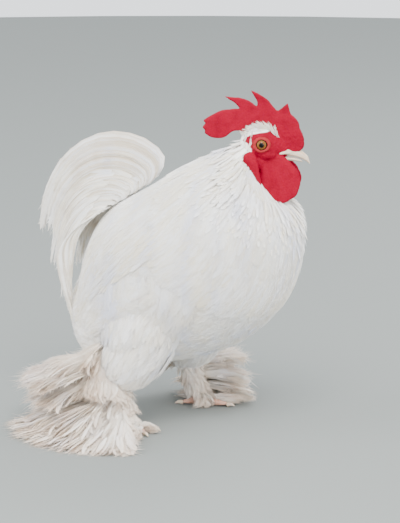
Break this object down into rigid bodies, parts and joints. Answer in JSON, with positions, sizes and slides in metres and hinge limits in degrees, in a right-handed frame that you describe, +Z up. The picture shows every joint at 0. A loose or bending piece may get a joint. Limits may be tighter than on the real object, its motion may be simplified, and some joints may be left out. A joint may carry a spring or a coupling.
{
  "type": "bantam chicken",
  "caption": "Life-size standing bantam cock, a still model with a single comb, wattles, a full neck hackle, a high mop tail and feathered legs and feet.",
  "frame": {"origin": "on the floor, below the middle of the bird's bounding box", "axes": "+X forward, the way the breast and toes point, +Y to the bird's left, +Z up"},
  "size_m": [0.2458, 0.251, 0.29],
  "materials": {
    "plumage": "white feathers with a faint cream tint",
    "boots": "white leg feathers soiled beige",
    "comb": "bare red skin with a fine grain",
    "horn": "pale horn",
    "eye": "wet gloss, amber-brown iris and black pupil"
  },
  "bodies": {
    "root": {"beak_lower": "horn", "beak_upper": "horn", "claw_hind_left": "horn", "claw_hind_right": "horn", "claw_inner_left": "horn", "claw_inner_right": "horn", "claw_middle_left": "horn", "claw_middle_right": "horn", "claw_outer_left": "horn", "claw_outer_right": "horn", "comb": "comb", "ear_tuft_left": "plumage", "ear_tuft_right": "plumage", "earlobe_left": "comb", "earlobe_right": "comb", "eye_left": "eye", "eye_right": "eye", "foot_left": "boots", "foot_right": "boots", "head": "comb", "neck": "plumage", "shank_left": "boots", "shank_right": "boots", "tail": "plumage", "thigh_left": "plumage", "thigh_right": "plumage", "torso": "plumage", "wattle_left": "comb", "wattle_right": "comb", "wing_left": "plumage", "wing_right": "plumage"}
  },
  "joints": []
}
